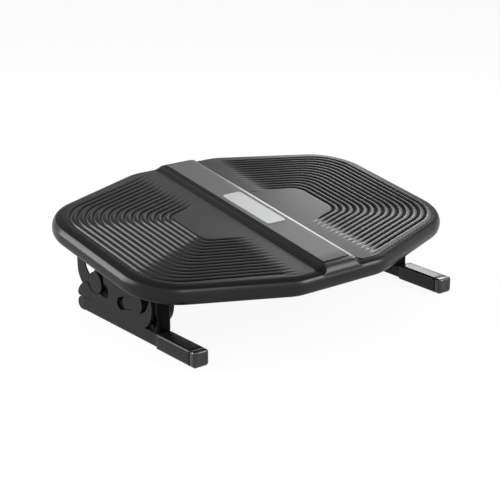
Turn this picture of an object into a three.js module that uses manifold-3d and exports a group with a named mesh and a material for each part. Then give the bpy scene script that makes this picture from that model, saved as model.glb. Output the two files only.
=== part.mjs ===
// Tilting under-desk footrest: a moulded deck with two ribbed pads, hung on a through bolt
// in each of two legs. The heel edge sinks when pressed and the deck falls back by its own
// weight on rubber rear stops. Millimetres, +X right, -Y towards the user, +Z up.
import * as THREE from 'three';
import { mergeVertices } from 'three/addons/utils/BufferGeometryUtils.js';
import Module from 'manifold-3d';

const wasm = await Module();
wasm.setup();

// Overall layout
const deckHeight = 89.1;
const restTiltDegrees = 8.9;
const legSpacing = 358.6;
const barFront = 138.8;

// Deck outline, measured on the edge between its top margin and its rim
const deckHalfWidth = 220.4;
const deckHalfDepth = 159.5;
const deckFlatHalf = 60.5;
const deckEdgeDegrees = 19;
const deckCornerRadius = 64;
const deckShoulderRadius = 60;

// Deck shell
const rimBulge = 3;
const rimTop = 9.2;
const rimBottom = 10;
const rimFoot = 2.4;
const shellWall = 3;
const shellRoof = 4;
const marginRise = 1.7;
const seatDepth = 2.7;

// Raised spine between the pads, its cover strip and the plain plate on it
const spineFootHalf = 30.7;
const spineFootTop = 11.2;
const spineShoulderHalf = 22.8;
const spineShoulderTop = 16.8;
const spineTopHalf = 18.9;
const spineTop = 17.4;
const spineTopReach = 149.2;
const spineEndReach = 155;
const spineEndTop = 14.7;
const spineEndFoot = 159.2;
const coverHalfWidth = 18.4;
const coverReach = 146.8;
const coverThickness = 1.8;
const coverProud = 0.3;
const plateHalfWidth = 13.2;
const plateHalfLength = 44;
const plateThickness = 1.3;
const plateSink = 0.7;
const plateCorner = 4;

// Ribbed pads
const padInner = 31.2;
const padOuter = 210.2;
const padHalfDepth = 152.8;
const padFlatHalf = 56;
const padEdgeDegrees = 18.3;
const padCornerRadius = 58;
const padHeelRadius = 3;
const padTop = 11.7;
const grooveCount = 14;
const grooveInner = 99;
const groovePitch = 8.08;
const grooveWidth = 4.4;
const grooveFloorWidth = 1.8;
const grooveDepth = 1.6;
const grooveEndX = 50;
const grooveEndDrift = 0.4;
const grooveEndDepth = 52.1;
const grooveEndPitch = 7.22;
const grooveEdgeDegrees = 17.75;
const grooveCornerRadius = 18;
const grooveCornerGrowth = 2.5;
const grooveFade = 14;

// Deck tray
const trayThickness = 2.5;
const trayRibWidth = 2;
const trayCrossRibAt = 60;
const trayLegRibHalf = 90;

// Foot bars
const sleeveWidth = 19.6;
const sleeveHeight = 18.4;
const sleeveLength = 61.5;
const sleeveTaper = 4.5;
const sleeveEdge = 3;
const capLength = 4.6;
const capBulge = 3;
const barInset = 2.6;
const barLift = 1;
const barWidth = 14.4;
const barTop = 16.4;
const barEdge = 1.6;
const barWall = 1.5;
const barRearReach = 120.8;
const barPocket = 6;
const plugLength = 13.6;
const plugSpigot = 12;
const footWidth = 6.8;
const footSetback = 29.8;
const footLength = 15;

// Pivot, its slot and what fills it
const pivotBack = 105;
const pivotHeight = 40.9;
const slotFallDegrees = 16.7;
const slotLength = 32.7;
const slotHalfWidth = 7.7;
const boltRadius = 4;
const bushWall = 3;
const capRadius = 11.6;
const capThickness = 1.3;
const washerRadius = 8.7;
const washerThickness = 0.8;
const spacerRadius = 7;
const nutRadius = 7.5;
const nutThickness = 4.2;
const sliderTravel = 9;
const sliderStart = 9.2;
const sliderThickness = 2.9;
const sliderLip = 1.5;
const sliderLipStart = 13.5;

// Fixed cheeks, saddle and front post
const cheekThickness = 4;
const innerCheekThickness = 4.8;
const legDepth = 32.6;
const hornRadius = 28;
const cheekSetback = 26.5;
const innerCheekSetback = 8;
const cheekTop = 62;
const saddleHeight = 5.5;
const saddleStart = 80;
const saddleSetback = 35.8;
const saddleTail = 20;
const postInset = 5.1;
const postWidth = 17.1;
const postStart = 67.6;
const postDepth = 8.9;
const postTop = 57;
const postCorner = 4;
const bufferSlack = 0.6;

// Hanging parts of the deck
const flangeThickness = 3;
const flangeStart = 86;
const flangeOverhang = 10.2;
const hangerThickness = 4;
const armThickness = 2;
const lugRadius = 12;
const lugTopHalf = 17;
const bossSetback = 36.8;
const bossHeight = 40.7;
const bossRadius = 12.9;
const bossSink = 0.4;
const armReach = 44.5;
const cradleGap = 0.6;
const guardRise = 18.3;

// Joining tube between the legs
const tubeRadius = 8;
const tubeWall = 1.5;
const tubeBack = 150;
const tubeHeight = 31;
const tubeFlangeRadius = 13;
const tubeFlangeDepth = 9;
const tubeFlangeFloor = 2.7;

// How far the deck tilts beyond its resting place
const tiltRangeDegrees = 12;

// Shop values
const clearance = 0.3;
const overrun = 2;
const arcSteps = 6;
const edgeSteps = 2;
const roundSteps = 24;

const barLength = pivotBack + barRearReach;
const restTilt = THREE.MathUtils.degToRad(restTiltDegrees);
const outerFace = (legSpacing + sleeveWidth) / 2;

// Finishes
const finish = (color, roughness, metalness) => ({ color, roughness, metalness });
const finishes = {
  shell: finish('#0f1012', 0.35, 0),
  pad: finish('#2b2c2e', 0.6, 0),
  cover: finish('#333436', 0.5, 0),
  plate: finish('#c4c5c7', 0.3, 1),
  powder: finish('#232426', 0.5, 0.2),
  glossy: finish('#141416', 0.25, 0),
  rubber: finish('#111112', 0.85, 0),
  steel: finish('#8c8e91', 0.35, 1),
  nylon: finish('#dcdcd6', 0.55, 0),
};

const footrest = new THREE.Group();
const deckFrame = new THREE.Group();
deckFrame.position.z = deckHeight;
deckFrame.rotation.x = restTilt;
footrest.add(deckFrame);

const add = (name, geometry, look, parent = footrest) => {
  const mesh = new THREE.Mesh(geometry, new THREE.MeshStandardMaterial(finishes[look]));
  mesh.name = name;
  parent.add(mesh);
};

// Solids that are cut or joined
const toSolid = (geometry) => {
  const bare = geometry.clone();
  bare.deleteAttribute('normal');
  bare.deleteAttribute('uv');
  const merged = mergeVertices(bare.index ? bare.toNonIndexed() : bare);
  return new wasm.Manifold(new wasm.Mesh({
    numProp: 3,
    vertProperties: new Float32Array(merged.attributes.position.array),
    triVerts: new Uint32Array(merged.index.array),
  }));
};

const toGeometry = (solid) => {
  const mesh = solid.getMesh();
  const geometry = new THREE.BufferGeometry();
  geometry.setAttribute('position', new THREE.BufferAttribute(mesh.vertProperties, 3));
  geometry.setIndex(new THREE.BufferAttribute(mesh.triVerts, 1));
  return geometry;
};

const cut = (geometry, ...tools) => toGeometry(
  tools.reduce((solid, tool) => solid.subtract(toSolid(tool)), toSolid(geometry)));
const join = (...pieces) => toGeometry(
  pieces.map(toSolid).reduce((solid, piece) => solid.add(piece)));
const common = (one, other) => toGeometry(toSolid(one).intersect(toSolid(other)));

// A closed outline from corners [x, y, radius], each corner an arc of the same step count
const roundedLoop = (corners, steps = arcSteps) => corners.flatMap(([x, y, radius = 0], index) => {
  const corner = new THREE.Vector2(x, y);
  if (!radius) return [corner];
  const before = corners.at(index - 1);
  const after = corners[(index + 1) % corners.length];
  const back = new THREE.Vector2(before[0] - x, before[1] - y).normalize();
  const ahead = new THREE.Vector2(after[0] - x, after[1] - y).normalize();
  const half = Math.acos(THREE.MathUtils.clamp(back.dot(ahead), -1, 1)) / 2;
  const centre = back.clone().add(ahead).normalize().multiplyScalar(radius / Math.sin(half)).add(corner);
  const from = back.multiplyScalar(radius / Math.tan(half)).add(corner).sub(centre);
  const to = ahead.multiplyScalar(radius / Math.tan(half)).add(corner).sub(centre);
  const turn = Math.atan2(from.cross(to), from.dot(to));
  return Array.from({ length: steps + 1 }, (_, step) => from.clone()
    .rotateAround(new THREE.Vector2(), turn * step / steps).add(centre));
});

const arc = (y, z, radius, fromDegrees, toDegrees, steps = arcSteps) =>
  Array.from({ length: steps + 1 }, (_, step) => {
    const angle = THREE.MathUtils.degToRad(fromDegrees + (toDegrees - fromDegrees) * step / steps);
    return new THREE.Vector2(y + radius * Math.cos(angle), z + radius * Math.sin(angle));
  });

const extrude = (outline, depth) => new THREE.ExtrudeGeometry(
  new THREE.Shape(outline), { depth, bevelEnabled: false });

// An outline in the deck's plane, raised from low to high
const upright = (outline, low, high) => extrude(outline, high - low).translate(0, 0, low);

// An outline in the side view (y, z), carried across from one x to another
const sideToWorld = new THREE.Matrix4().makeBasis(
  new THREE.Vector3(0, 1, 0), new THREE.Vector3(0, 0, 1), new THREE.Vector3(1, 0, 0));
const across = (outline, x0, x1) => extrude(outline, Math.abs(x1 - x0))
  .applyMatrix4(sideToWorld).translate(Math.min(x0, x1), 0, 0);

// An outline in the front view (x, z), carried from one y to another
const frontToWorld = new THREE.Matrix4().makeBasis(
  new THREE.Vector3(1, 0, 0), new THREE.Vector3(0, 0, 1), new THREE.Vector3(0, -1, 0));
const along = (outline, y0, y1) => extrude(outline, Math.abs(y1 - y0))
  .applyMatrix4(frontToWorld).translate(0, Math.max(y0, y1), 0);

// Stacked loops with equal counts, capped at both ends
const loft = (loops) => {
  const count = loops[0].points.length;
  const positions = loops.flatMap(({ points, level }) => points.flatMap((p) => [p.x, p.y, level]));
  const index = [];
  for (let ring = 0; ring < loops.length - 1; ring += 1) {
    for (let k = 0; k < count; k += 1) {
      const a = ring * count + k;
      const b = ring * count + (k + 1) % count;
      index.push(a, b, b + count, a, b + count, a + count);
    }
  }
  const cap = THREE.ShapeUtils.triangulateShape(loops[0].points, []);
  const top = (loops.length - 1) * count;
  cap.forEach(([a, b, c]) => index.push(a, c, b, top + a, top + b, top + c));
  const geometry = new THREE.BufferGeometry();
  geometry.setAttribute('position', new THREE.Float32BufferAttribute(positions, 3));
  geometry.setIndex(index);
  return geometry;
};

// Deck outline, moved inwards by an inset
const deckEdge = THREE.MathUtils.degToRad(deckEdgeDegrees);
const eightSided = (width, depth, flat, edge, corner, shoulder) => {
  const side = depth - (width - flat) * Math.tan(edge);
  return roundedLoop([
    [width, -side, corner], [width, side, corner], [flat, depth, shoulder], [-flat, depth, shoulder],
    [-width, side, corner], [-width, -side, corner], [-flat, -depth, shoulder], [flat, -depth, shoulder],
  ]);
};
const deckLoop = (inset) => eightSided(
  deckHalfWidth - inset, deckHalfDepth - inset, deckFlatHalf - inset * Math.tan(deckEdge / 2), deckEdge,
  deckCornerRadius - inset, deckShoulderRadius - inset);
const padEdge = THREE.MathUtils.degToRad(padEdgeDegrees);
const wellLoop = () => eightSided(
  padOuter, padHalfDepth, padFlatHalf, padEdge, padCornerRadius, deckShoulderRadius);

// Deck shell: one moulding with a rounded rim, an open underside, two pad seats and the spine
// Rim section from the foot up: share of the bulge, share of the foot's inset, share of the level
const rimShares = [
  [0, 1, -1], [0, 0.35, -0.95], [0.3, 0, -0.78], [0.85, 0, -0.45], [1, 0, -0.05], [0.86, 0, 0.38],
  [0.42, 0, 0.7], [0, 0, 0.9], [0, 0.25, 0.975], [0, 0.6, 1]];
const shellBody = loft([
  ...rimShares.map(([bulgeShare, footShare, levelShare]) => ({
    points: deckLoop(footShare * rimFoot - bulgeShare * rimBulge),
    level: levelShare * (levelShare < 0 ? rimBottom : rimTop),
  })),
  { points: wellLoop(), level: rimTop + marginRise },
]);
const cavityTop = rimTop - shellRoof;
const cavityInset = rimFoot + shellWall;
const cavity = loft([
  { points: deckLoop(cavityInset), level: -rimBottom - overrun },
  { points: deckLoop(cavityInset), level: 0 },
  { points: deckLoop(cavityInset + shellWall), level: cavityTop },
]);
const mirrored = (half) => [...half, ...half.map(([x, y]) => [-x, y]).reverse()]
  .map(([x, y]) => new THREE.Vector2(x, y));
const spineFoot = rimTop + marginRise - seatDepth;
const spine = common(
  along(mirrored([[spineFootHalf, spineFoot], [spineFootHalf, spineFootTop],
    [spineShoulderHalf, spineShoulderTop], [spineTopHalf, spineTop]]), -spineEndFoot, spineEndFoot),
  across(mirrored([[spineEndFoot, spineFoot], [spineEndFoot, rimTop], [spineEndReach, spineEndTop],
    [spineTopReach, spineTop]]), -spineFootHalf, spineFootHalf));
const coverFoot = spineTop + coverProud - coverThickness;
const rectangle = (halfX, halfY, radius) => roundedLoop([
  [-halfX, -halfY, radius], [halfX, -halfY, radius], [halfX, halfY, radius], [-halfX, halfY, radius]]);
const coverRecess = upright(
  rectangle(coverHalfWidth + clearance, coverReach + clearance, clearance), coverFoot - clearance, spineTop + overrun);
const hollowTop = coverFoot - clearance - shellWall;
const spineHollow = along(mirrored([
  [coverHalfWidth, cavityTop - overrun], [coverHalfWidth - shellWall, hollowTop]]), -coverReach, coverReach);

const padOutline = (side, grow) => {
  const inner = padInner - grow;
  const outer = padOuter + grow;
  const depth = padHalfDepth + grow;
  const corner = depth - (outer - padFlatHalf) * Math.tan(padEdge);
  const points = [
    [inner, -depth, padHeelRadius], [padFlatHalf, -depth, deckShoulderRadius],
    [outer, -corner, padCornerRadius], [outer, corner, padCornerRadius],
    [padFlatHalf, depth, deckShoulderRadius], [inner, depth, padHeelRadius],
  ];
  return side > 0 ? roundedLoop(points)
    : roundedLoop(points.map(([x, y, radius]) => [-x, y, radius]).reverse());
};
const seat = (side) => upright(padOutline(side, clearance), spineFoot, spineTop);
add('deck_shell', toGeometry(toSolid(shellBody)
  .subtract(toSolid(cavity)).subtract(toSolid(seat(-1))).subtract(toSolid(seat(1)))
  .add(toSolid(spine)).subtract(toSolid(spineHollow)).subtract(toSolid(coverRecess))), 'shell', deckFrame);

// Deck tray: closes the underside and carries ribs up to the shell's roof
const trayOutline = deckLoop(cavityInset + clearance);
const trayTop = trayThickness - rimBottom;
const trayRib = (halfX, halfY, x, y) => upright([
  new THREE.Vector2(x - halfX, y - halfY), new THREE.Vector2(x + halfX, y - halfY),
  new THREE.Vector2(x + halfX, y + halfY), new THREE.Vector2(x - halfX, y + halfY),
], trayTop - trayThickness / 2, cavityTop - clearance);
const ribHalf = trayRibWidth / 2;
add('deck_tray', join(
  upright(trayOutline, -rimBottom, trayTop),
  ...[-1, 1].map((side) => trayRib(
    deckHalfWidth - padInner - 2 * cavityInset, ribHalf, 0, side * trayCrossRibAt)),
  ...[-1, 1].flatMap((side) => [outerFace, outerFace - legDepth]
    .map((x) => trayRib(ribHalf, trayLegRibHalf, side * x, 0)))), 'powder', deckFrame);

// Pads: soft mouldings with nested grooves that fade out beside the spine
const grooveEdge = THREE.MathUtils.degToRad(grooveEdgeDegrees);
const groovePath = (side, k) => {
  const x = grooveInner + groovePitch * k;
  const endX = grooveEndX + grooveEndDrift * k;
  const endY = grooveEndDepth + grooveEndPitch * k;
  const corner = endY - (x - grooveEndX) * Math.tan(grooveEdge);
  const radius = grooveCornerRadius + grooveCornerGrowth * k;
  const fadeX = endX + grooveFade;
  const onEdge = (at) => endY - (at - grooveEndX) * Math.tan(grooveEdge);
  const line = roundedLoop([
    [endX, -onEdge(endX)], [x, -corner, radius], [x, corner, radius], [endX, onEdge(endX)],
  ], arcSteps - 1);
  const stations = [
    { point: line[0], depth: 0 },
    { point: new THREE.Vector2(fadeX, -onEdge(fadeX)), depth: 1 },
    ...line.slice(1, -1).map((point) => ({ point, depth: 1 })),
    { point: new THREE.Vector2(fadeX, onEdge(fadeX)), depth: 1 },
    { point: line.at(-1), depth: 0 },
  ];
  return stations.map(({ point, depth }) => ({ point: new THREE.Vector2(side * point.x, point.y), depth }));
};
const grooveTool = (side, k) => {
  const stations = groovePath(side, k);
  const last = stations.length - 1;
  const positions = stations.flatMap(({ point, depth }, index) => {
    const before = stations[Math.max(index - 1, 0)].point;
    const after = stations[Math.min(index + 1, last)].point;
    const into = point.clone().sub(before).normalize();
    const out = after.clone().sub(point).normalize();
    const heading = into.add(out).normalize();
    const sideways = new THREE.Vector2(-heading.y, heading.x);
    const floor = padTop + (depth ? -grooveDepth : clearance);
    const at = (offset, level) => [
      point.x + sideways.x * offset, point.y + sideways.y * offset, level];
    return [
      ...at(-grooveWidth / 2, padTop + overrun), ...at(-grooveWidth / 2, padTop + clearance / 2),
      ...at(-grooveFloorWidth / 2, floor), ...at(grooveFloorWidth / 2, floor),
      ...at(grooveWidth / 2, padTop + clearance / 2), ...at(grooveWidth / 2, padTop + overrun),
    ];
  });
  const corners = positions.length / 3 / stations.length;
  const index = [];
  for (let station = 0; station < last; station += 1) {
    for (let corner = 0; corner < corners; corner += 1) {
      const a = station * corners + corner;
      const b = station * corners + (corner + 1) % corners;
      index.push(a, b, b + corners, a, b + corners, a + corners);
    }
  }
  for (let corner = 1; corner < corners - 1; corner += 1) {
    index.push(0, corner + 1, corner);
    index.push(last * corners, last * corners + corner, last * corners + corner + 1);
  }
  const geometry = new THREE.BufferGeometry();
  geometry.setAttribute('position', new THREE.Float32BufferAttribute(positions, 3));
  geometry.setIndex(index);
  return geometry;
};
const pad = (side) => cut(
  upright(padOutline(side, 0), spineFoot + clearance, padTop),
  ...Array.from({ length: grooveCount }, (_, k) => grooveTool(side, k)));

// Cover strip on the spine, with a shallow pocket for the plain plate
const coverTop = coverFoot + coverThickness;
add('centre_cover', cut(
  upright(rectangle(coverHalfWidth, coverReach, clearance), coverFoot, coverTop),
  upright(rectangle(plateHalfWidth + clearance, plateHalfLength + clearance, plateCorner),
    coverTop - plateSink - clearance, coverTop + overrun)), 'cover', deckFrame);
add('plain_plate', upright(rectangle(plateHalfWidth, plateHalfLength, plateCorner),
  coverTop - plateSink, coverTop - plateSink + plateThickness), 'plate', deckFrame);

// Side-view places: back from the bar's front end, and up from the floor
const at = (back, height) => new THREE.Vector2(back - barFront, height);
const pivot = at(pivotBack, pivotHeight);
const tubeCentre = at(tubeBack, tubeHeight);
const slotFall = THREE.MathUtils.degToRad(slotFallDegrees);
const onSlot = (distance) => new THREE.Vector2(
  pivot.x + distance * Math.cos(slotFall), pivot.y - distance * Math.sin(slotFall));
const undersideAt = (y, level) => deckHeight + (level + y * Math.sin(restTilt)) / Math.cos(restTilt);

// A bar with round ends between two points, or flat at the first where no start radius is given
const obround = (from, to, half) => {
  const heading = THREE.MathUtils.radToDeg(Math.atan2(to.y - from.y, to.x - from.x));
  return [...arc(to.x, to.y, half, heading - 90, heading + 90, 2 * arcSteps),
    ...arc(from.x, from.y, half, heading + 90, heading + 270, 2 * arcSteps)];
};
const flatStart = (from, to, half) => {
  const heading = THREE.MathUtils.radToDeg(Math.atan2(to.y - from.y, to.x - from.x));
  return [...arc(to.x, to.y, half, heading - 90, heading + 90, 2 * arcSteps),
    ...arc(from.x, from.y, half, heading + 90, heading + 270, 1)];
};
const disc = (centre, radius) => arc(centre.x, centre.y, radius, 0, 360, roundSteps).slice(0, -1);

// Cheek outline: the horn's front edge is struck from the pivot. Its back edge follows shares
// of the horn's radius, and the web and tail shares of that cheek's length, from the front of
// the horn back. Second shares are of the height above the bar.
const cheekFoot = barTop + clearance;
const cheekFront = pivotBack - hornRadius;
const cheekLength = barLength - cheekSetback - cheekFront;
const innerCheekLength = barLength - innerCheekSetback - cheekFront;
const alongCheek = (length) => ([lengthShare, heightShare]) => at(
  cheekFront + lengthShare * length, cheekFoot + heightShare * (cheekTop - cheekFoot));
const hornTipShare = 0.29;
const lobeFromDegrees = 225;
const lobeToDegrees = 100;
const hornShares = [[0.19, 0.8], [0.15, 0.73], [0.21, 0.67], [0.305, 0.56], [0.44, 0.43], [0.61, 0.36]];
const webShares = [
  [0.783, 1], [0.781, 0.84], [0.762, 0.62], [0.715, 0.59], [0.697, 0.52], [0.697, 0.36], [0.712, 0.28],
  [0.735, 0.25], [0.79, 0.27], [0.838, 0.302], [1, 0.33], [1, 0]];
const cheekOutline = (lobe, length) => {
  const hornFoot = THREE.MathUtils.radToDeg(Math.asin((pivotHeight - cheekFoot) / hornRadius));
  const hornTip = THREE.MathUtils.radToDeg(Math.asin((cheekTop - cheekFoot) * hornTipShare / hornRadius));
  return [
    ...arc(pivot.x, pivot.y, hornRadius, 180 + hornFoot, 180 - hornTip, 2 * arcSteps),
    ...hornShares.map(alongCheek(hornRadius)),
    ...arc(pivot.x, pivot.y, lobe, lobeFromDegrees, lobeToDegrees),
    new THREE.Vector2(pivot.x - lobe / 2, cheekTop),
    ...webShares.map(alongCheek(length)),
  ];
};

// Rear arm, in shares of its reach from the boss centre: heel and rear edge, window, and the
// front edge up to the flange, whose second share runs from the boss centre to the flange
const boss = at(barLength - bossSetback, bossHeight);
const armPoint = ([backShare, heightShare]) => new THREE.Vector2(
  boss.x + backShare * armReach, boss.y + heightShare * armReach);
const heelShares = [
  [0.454, -0.317], [0.802, -0.245], [0.885, -0.157], [0.942, -0.063], [0.982, 0.034], [0.998, 0.153],
  [1.007, 0.276], [1, 0.434]];
const windowShares = [
  [0.08, 0.57], [0.14, 0.3], [0.22, 0.24], [0.28, 0.16], [0.33, 0.1], [0.37, 0.055], [0.416, 0.056],
  [0.481, 0.092], [0.548, 0.155], [0.596, 0.222], [0.638, 0.292], [0.652, 0.371], [0.655, 0.5], [0.6, 0.57]];
const armFrontShares = [[-0.417, 1], [-0.304, 0.26]];
const heelFromDegrees = 285;

// Heel guard's profile, in shares of its height above the bar: forward from the bar's rear
// end, and up
const guardShares = [
  [0.142, 0], [0.033, 0.082], [0, 0.19], [0.033, 0.3], [0.131, 0.49], [0.284, 0.69], [0.508, 0.885],
  [0.7, 0.99], [0.863, 1], [1.219, 1]];
const guardFrontShare = 0.83;

// Rear stop, in shares of its height from the bar up to the arm's heel: the rear end's profile
const stopShares = [[0.25, 0], [0, 0.25], [0, 0.45], [0.25, 0.75]];

// How a front cap's face rounds off: share of its bulge inwards, share of its bulge forwards
const capShares = [[0, 0], [0.12, 0.45], [0.5, 0.85], [1.1, 1]];

const legs = [[-1, 'left'], [1, 'right']];
for (const [side, hand] of legs) {
  const inboard = (distance) => side * (outerFace - distance);
  const plate = (outline, from, thickness) => across(outline, inboard(from), inboard(from + thickness));

  add(`${hand}_pad`, pad(side), 'pad', deckFrame);

  // Foot bar: square steel tube with softened edges
  const tubeSection = (inset) => {
    const x0 = Math.min(inboard(barInset), inboard(barInset + barWidth)) + inset;
    const x1 = x0 + barWidth - 2 * inset;
    const edge = Math.max(barEdge - inset, clearance);
    return roundedLoop([
      [x0, barLift + inset, edge], [x1, barLift + inset, edge],
      [x1, barTop - inset, edge], [x0, barTop - inset, edge]], edgeSteps);
  };
  const front = (distance) => distance - barFront;
  add(`${hand}_foot_bar`, cut(
    along(tubeSection(0), front(barPocket), front(barLength - plugLength)),
    along(tubeSection(barWall), front(barPocket - overrun), front(barLength - plugLength + overrun))), 'powder');

  // Soft sleeve over the front of the bar, tapering to the bar behind
  const sleeveSection = (inset, edge) => {
    const x0 = Math.min(inboard(0), inboard(sleeveWidth)) + inset;
    return roundedLoop([
      [x0, inset, edge], [x0 + sleeveWidth - 2 * inset, inset, edge],
      [x0 + sleeveWidth - 2 * inset, sleeveHeight - inset, edge], [x0, sleeveHeight - inset, edge]], edgeSteps);
  };
  const ringAt = (section, y) => ({ points: section, level: y });
  const turned = (geometry) => geometry.applyMatrix4(frontToWorld);
  const sleeveShort = sleeveLength - capLength;
  add(`${hand}_sleeve`, cut(
    turned(loft([
      ringAt(sleeveSection(barLift / 2, sleeveEdge / 2), -front(capLength + sleeveShort + sleeveTaper)),
      ringAt(sleeveSection(0, sleeveEdge), -front(capLength + sleeveShort)),
      ringAt(sleeveSection(0, sleeveEdge), -front(capLength + clearance)),
    ])),
    along(tubeSection(-clearance), front(0), front(barLength))), 'rubber');

  // Domed end cap in front of the sleeve, with a spigot in the tube
  add(`${hand}_front_cap`, join(
    turned(loft([
      ringAt(sleeveSection(0, sleeveEdge), -front(capLength)),
      ...capShares.map(([insetShare, bulgeShare]) => ringAt(
        sleeveSection(insetShare * capBulge, sleeveEdge), -front(-bulgeShare * capBulge))),
    ])),
    along(tubeSection(barWall + clearance), front(0), front(barPocket + plugSpigot))), 'glossy');

  // Rear plug: rounds off the bar's rear end
  const plugHalf = (barTop - barLift) / 2;
  const plugFrom = barLength - plugLength + clearance;
  const plugOutline = [at(plugFrom, barLift), ...arc(
    at(barLength - plugHalf, 0).x, barLift + plugHalf, plugHalf, -90, 90, 2 * arcSteps), at(plugFrom, barTop)];
  add(`${hand}_rear_plug`, join(
    plate(plugOutline, barInset, barWidth),
    along(tubeSection(barWall + clearance), front(plugFrom - plugSpigot), front(plugFrom + overrun))), 'glossy');

  // Rear foot: a rubber pad under the bar's inner half
  const footFrom = barInset + barWidth - footWidth - barEdge;
  const footStart = barLength - footSetback;
  add(`${hand}_rear_foot`, plate([
    at(footStart, 0), at(footStart + footLength, 0),
    at(footStart + footLength, barLift - clearance), at(footStart, barLift - clearance)],
  footFrom, footWidth), 'rubber');

  // Cheeks: the outer one has the falling slot, the inner one only the bolt hole
  const bushRadius = boltRadius + clearance + bushWall;
  const innerFrom = legDepth - innerCheekThickness;
  add(`${hand}_outer_cheek`, cut(
    cut(
      plate(cheekOutline(capRadius - clearance, cheekLength), barInset, cheekThickness),
      plate(disc(boss, bossRadius + cradleGap), barInset - overrun, cheekThickness + 2 * overrun)),
    plate(obround(pivot, onSlot(slotLength), slotHalfWidth), barInset - overrun, cheekThickness + 2 * overrun)),
  'powder');
  add(`${hand}_inner_cheek`, cut(
    plate(cheekOutline(capRadius - clearance, innerCheekLength), innerFrom, innerCheekThickness),
    plate(disc(pivot, boltRadius + clearance), innerFrom - overrun, innerCheekThickness + 2 * overrun)), 'powder');

  // Saddle: the block that the cheeks are fixed to, on top of the bar, with a narrower tail
  // beside the rear stop
  const betweenFrom = barInset + cheekThickness + clearance;
  const betweenTo = innerFrom - clearance;
  const saddleEnd = barLength - saddleSetback;
  const tailFrom = barInset + barWidth + clearance;
  add(`${hand}_saddle`, join(
    plate([
      at(saddleStart, cheekFoot), at(saddleEnd, cheekFoot),
      at(saddleEnd, cheekFoot + saddleHeight), at(saddleStart, cheekFoot + saddleHeight)],
    betweenFrom, betweenTo - betweenFrom),
    plate([
      at(saddleEnd - overrun, cheekFoot), at(saddleEnd + saddleTail, cheekFoot),
      at(saddleEnd + saddleTail, cheekFoot + saddleHeight), at(saddleEnd - overrun, cheekFoot + saddleHeight)],
    tailFrom, betweenTo - tailFrom)), 'powder');

  // Front post: a moulded column in front of the horn, hollowed behind its waist
  const hornGap = pivotBack - hornRadius - clearance;
  const postHeight = postTop - cheekFoot;
  const postBackShares = [[1, 1], [0.985, 0.75], [0.97, 0.56], [0.47, 0.46], [0.42, 0.3], [0.6, 0.16], [1.2, 0.04], [1.25, 0]];
  const postBack = postBackShares.map(([depthShare, heightShare]) => at(
    postStart + depthShare * (hornGap - postStart), cheekFoot + heightShare * postHeight));
  add(`${hand}_front_post`, common(
    plate([...postBack, at(postStart, cheekFoot), at(postStart, postTop)], postInset, postWidth),
    upright(roundedLoop([
      [Math.min(inboard(postInset), inboard(postInset + postWidth)), front(postStart), postCorner],
      [Math.max(inboard(postInset), inboard(postInset + postWidth)), front(postStart), postCorner],
      [Math.max(inboard(postInset), inboard(postInset + postWidth)), front(postStart + 2 * postDepth)],
      [Math.min(inboard(postInset), inboard(postInset + postWidth)), front(postStart + 2 * postDepth)],
    ]), 0, postTop)), 'shell');

  // Post buffer: a rubber cap cut to the deck's underside at its full tilt
  const fullTilt = restTilt + THREE.MathUtils.degToRad(tiltRangeDegrees);
  const undersideReach = -(rimBottom + Math.cos(restTilt) * (pivot.y - deckHeight) - Math.sin(restTilt) * pivot.x);
  const bufferHeight = (y) => pivot.y
    + (undersideReach - bufferSlack + (y - pivot.x) * Math.sin(fullTilt)) / Math.cos(fullTilt);
  const bufferFrom = front(postStart + clearance);
  const bufferTo = front(hornGap - clearance);
  add(`${hand}_post_buffer`, plate([
    new THREE.Vector2(bufferFrom, postTop + clearance), new THREE.Vector2(bufferTo, postTop + clearance),
    new THREE.Vector2(bufferTo, bufferHeight(bufferTo)), new THREE.Vector2(bufferFrom, bufferHeight(bufferFrom))],
  postInset + postCorner, postWidth - 2 * postCorner), 'rubber');

  // Hanger: a flange under the tray, a lug on the pivot bolt at each side and the rear arm
  const bossInset = barInset + bossSink;
  const washerFrom = barInset + cheekThickness + clearance;
  const hangerFrom = washerFrom + washerThickness + clearance;
  const innerWasherFrom = innerFrom - clearance - washerThickness;
  const innerLugFrom = innerWasherFrom - clearance - hangerThickness;
  const flangeX = [inboard(hangerFrom), inboard(innerLugFrom + hangerThickness)].sort((a, b) => a - b);
  const flangeLevel = -rimBottom - clearance;
  add(`${hand}_hanger_flange`, upright([
    new THREE.Vector2(flangeX[0], front(flangeStart)), new THREE.Vector2(flangeX[1], front(flangeStart)),
    new THREE.Vector2(flangeX[1], front(barLength + flangeOverhang)),
    new THREE.Vector2(flangeX[0], front(barLength + flangeOverhang))],
  flangeLevel - flangeThickness, flangeLevel), 'powder', deckFrame);
  const hangTop = (y) => new THREE.Vector2(y, undersideAt(y, flangeLevel - flangeThickness - clearance));
  const lugOutline = [
    ...arc(pivot.x, pivot.y, lugRadius, 180, 360, 2 * arcSteps),
    hangTop(pivot.x + lugTopHalf), hangTop(pivot.x - lugRadius)];
  const lug = (from) => cut(
    plate(lugOutline, from, hangerThickness),
    plate(disc(pivot, boltRadius + clearance), from - overrun, hangerThickness + 2 * overrun));
  add(`${hand}_outer_lug`, lug(hangerFrom), 'powder');
  add(`${hand}_inner_lug`, lug(innerLugFrom), 'powder');

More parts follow.
